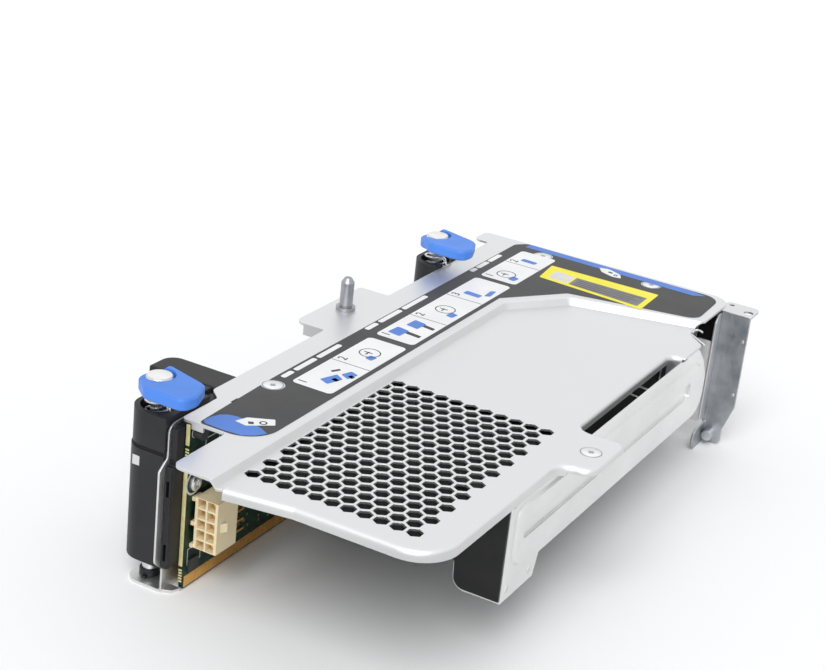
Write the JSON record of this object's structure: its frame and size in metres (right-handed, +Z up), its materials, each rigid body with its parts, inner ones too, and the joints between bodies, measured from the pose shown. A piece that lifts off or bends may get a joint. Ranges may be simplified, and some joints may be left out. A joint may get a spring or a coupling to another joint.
{
  "type": "server riser cage",
  "caption": "Sheet-metal expansion card riser cage for a rack server: riser board, perforated top deck, spring-loaded half-turn latches and blanked card windows.",
  "frame": {"origin": "Bottom centre of the bounding box, on the plane the feet rest on.", "axes": "+X runs from the latch side to the side wall, +Y from the free deck end to the rear card windows, +Z up."},
  "size_m": [0.1688, 0.3026, 0.083],
  "materials": {
    "deck": "satin galvanised sheet",
    "deck_screws": "satin",
    "deck_label": "satin printed film",
    "guide_pin": "turned",
    "left_wall": "satin galvanised sheet",
    "side_baffle": "moulded",
    "inner_block": "moulded",
    "riser_board": "solder mask",
    "edge_contacts": "gold plated",
    "board_standoffs": "turned",
    "board_screws": "zinc plated",
    "board_components": "moulded",
    "power_header": "moulded",
    "header_pins": "tin plated",
    "side_wall": "satin galvanised sheet",
    "insulator_sheet": "smooth film",
    "rear_panel": "satin galvanised sheet",
    "locating_stud": "turned",
    "cover_screws": "zinc plated",
    "slot_cover": "satin",
    "slot_connector": "moulded",
    "latch_housing": "moulded",
    "housing_clip": "stamped",
    "latch_shaft": "turned",
    "retaining_ring": "stamped",
    "latch_spring": "drawn wire",
    "thrust_washer": "moulded",
    "latch_handle": "moulded"
  },
  "bodies": {
    "cage": {"deck": "deck", "deck_screws": "deck_screws", "deck_label": "deck_label", "guide_pin": "guide_pin", "left_wall": "left_wall", "side_baffle": "side_baffle", "inner_block": "inner_block", "riser_board": "riser_board", "edge_contacts": "edge_contacts", "board_standoffs": "board_standoffs", "board_screws": "board_screws", "board_components": "board_components", "power_header": "power_header", "header_pins": "header_pins", "side_wall": "side_wall", "insulator_sheet": "insulator_sheet", "rear_panel": "rear_panel", "locating_stud": "locating_stud", "cover_screws": "cover_screws", "slot_connector_1": "slot_connector", "slot_connector_2": "slot_connector", "slot_connector_3": "slot_connector", "slot_cover_1": "slot_cover", "slot_cover_2": "slot_cover", "front_latch_housing": "latch_housing", "front_housing_clip": "housing_clip", "front_latch_spring": "latch_spring", "rear_latch_housing": "latch_housing", "rear_housing_clip": "housing_clip", "rear_latch_spring": "latch_spring"},
    "front_slider": {"front_thrust_washer": "thrust_washer"},
    "front_latch": {"front_latch_handle": "latch_handle", "front_latch_shaft": "latch_shaft", "front_retaining_ring": "retaining_ring"},
    "rear_slider": {"rear_thrust_washer": "thrust_washer"},
    "rear_latch": {"rear_latch_handle": "latch_handle", "rear_latch_shaft": "latch_shaft", "rear_retaining_ring": "retaining_ring"}
  },
  "joints": [
    {"name": "front_press", "type": "slide", "parent": "cage", "child": "front_slider", "axis": [0, 0, 1], "range_m": [-0.006, 0], "stiffness_N_per_m": 300, "springref_m": 0.01, "deforming": ["front_latch_spring"]},
    {"name": "front_turn", "type": "hinge", "parent": "front_slider", "child": "front_latch", "pos_m": [-0.05855, -0.11775, 0.076], "axis": [0, 0, -1], "range_deg": [0, 180]},
    {"name": "rear_press", "type": "slide", "parent": "cage", "child": "rear_slider", "axis": [0, 0, 1], "range_m": [-0.006, 0], "stiffness_N_per_m": 300, "springref_m": 0.01, "deforming": ["rear_latch_spring"]},
    {"name": "rear_turn", "type": "hinge", "parent": "rear_slider", "child": "rear_latch", "pos_m": [-0.05855, 0.08725, 0.076], "axis": [0, 0, -1], "range_deg": [0, 180]}
  ]
}
